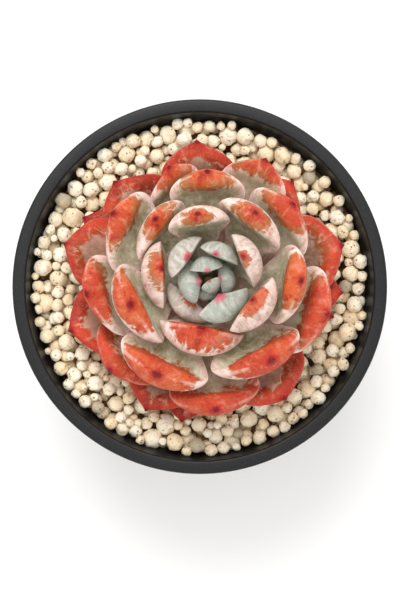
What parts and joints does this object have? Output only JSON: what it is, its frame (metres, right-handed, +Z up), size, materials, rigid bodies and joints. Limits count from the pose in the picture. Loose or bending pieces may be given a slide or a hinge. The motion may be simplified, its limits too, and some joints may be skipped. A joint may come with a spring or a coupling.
{
  "type": "potted succulent",
  "caption": "Rosette succulent with thick incurved spoon-shaped leaves on a short stem, in a round tapered pot with a flat rim and a top dressing of round granules.",
  "frame": {"origin": "centre of the pot's foot, on the surface it stands on", "axes": "+Z up along the pot's axis; +Y towards the back of the pot, -Y towards the viewer; +X to the right"},
  "size_m": [0.11, 0.11, 0.1274],
  "materials": {
    "pot": "matte",
    "granules": "matte",
    "mix": "matte",
    "stem": "matte",
    "leaf_heart": "matte",
    "leaf_outer": "satin"
  },
  "bodies": {
    "root": {"pot": "pot", "potting_mix": "mix", "top_dressing": "granules", "stem": "stem", "leaf_01": "leaf_heart", "leaf_02": "leaf_heart", "leaf_03": "leaf_heart", "leaf_04": "leaf_heart", "leaf_05": "leaf_heart", "leaf_06": "leaf_heart", "leaf_07": "leaf_heart", "leaf_08": "leaf_heart", "leaf_09": "leaf_heart", "leaf_10": "leaf_outer", "leaf_11": "leaf_outer", "leaf_12": "leaf_outer", "leaf_13": "leaf_outer", "leaf_14": "leaf_outer", "leaf_15": "leaf_outer", "leaf_16": "leaf_outer", "leaf_17": "leaf_outer", "leaf_18": "leaf_outer", "leaf_19": "leaf_outer", "leaf_20": "leaf_outer", "leaf_21": "leaf_outer", "leaf_22": "leaf_outer", "leaf_23": "leaf_outer", "leaf_24": "leaf_outer", "leaf_25": "leaf_outer", "leaf_26": "leaf_outer", "leaf_27": "leaf_outer", "leaf_28": "leaf_outer", "leaf_29": "leaf_outer", "leaf_30": "leaf_outer", "leaf_31": "leaf_outer", "leaf_32": "leaf_outer", "leaf_33": "leaf_outer", "leaf_34": "leaf_outer", "leaf_35": "leaf_outer", "leaf_36": "leaf_outer", "leaf_37": "leaf_outer", "leaf_38": "leaf_outer", "leaf_39": "leaf_outer", "leaf_40": "leaf_outer", "leaf_41": "leaf_outer"}
  },
  "joints": []
}
